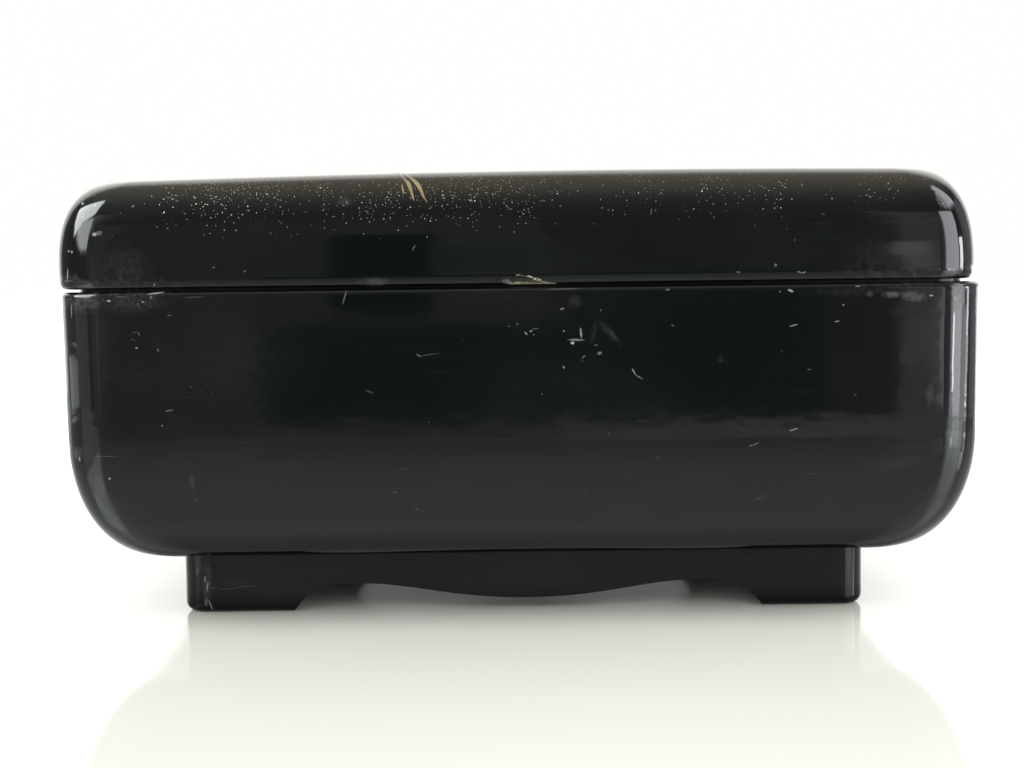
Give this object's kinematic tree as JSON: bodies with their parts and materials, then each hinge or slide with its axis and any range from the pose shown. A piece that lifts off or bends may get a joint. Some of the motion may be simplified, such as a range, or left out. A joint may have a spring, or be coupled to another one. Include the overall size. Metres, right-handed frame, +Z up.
{
  "type": "jubako",
  "caption": "Square black lacquered jubako box with a domed lift-off lid, a rounded belly and a low foot frame with scalloped aprons.",
  "frame": {"origin": "middle of the footprint, on the surface that the foot frame stands on", "axes": "+X to the right, +Y to the back, +Z up; the front faces -Y"},
  "size_m": [0.2406, 0.24, 0.1204],
  "materials": {
    "body_lacquer": "polished black lacquer on wood, worn and scratched",
    "lid_lacquer": "polished black lacquer on wood with sprinkled gold flakes",
    "foot_lacquer": "satin black lacquer on wood"
  },
  "bodies": {
    "root": {"box_body": "body_lacquer", "lid": "lid_lacquer", "foot_frame": "foot_lacquer"}
  },
  "joints": []
}
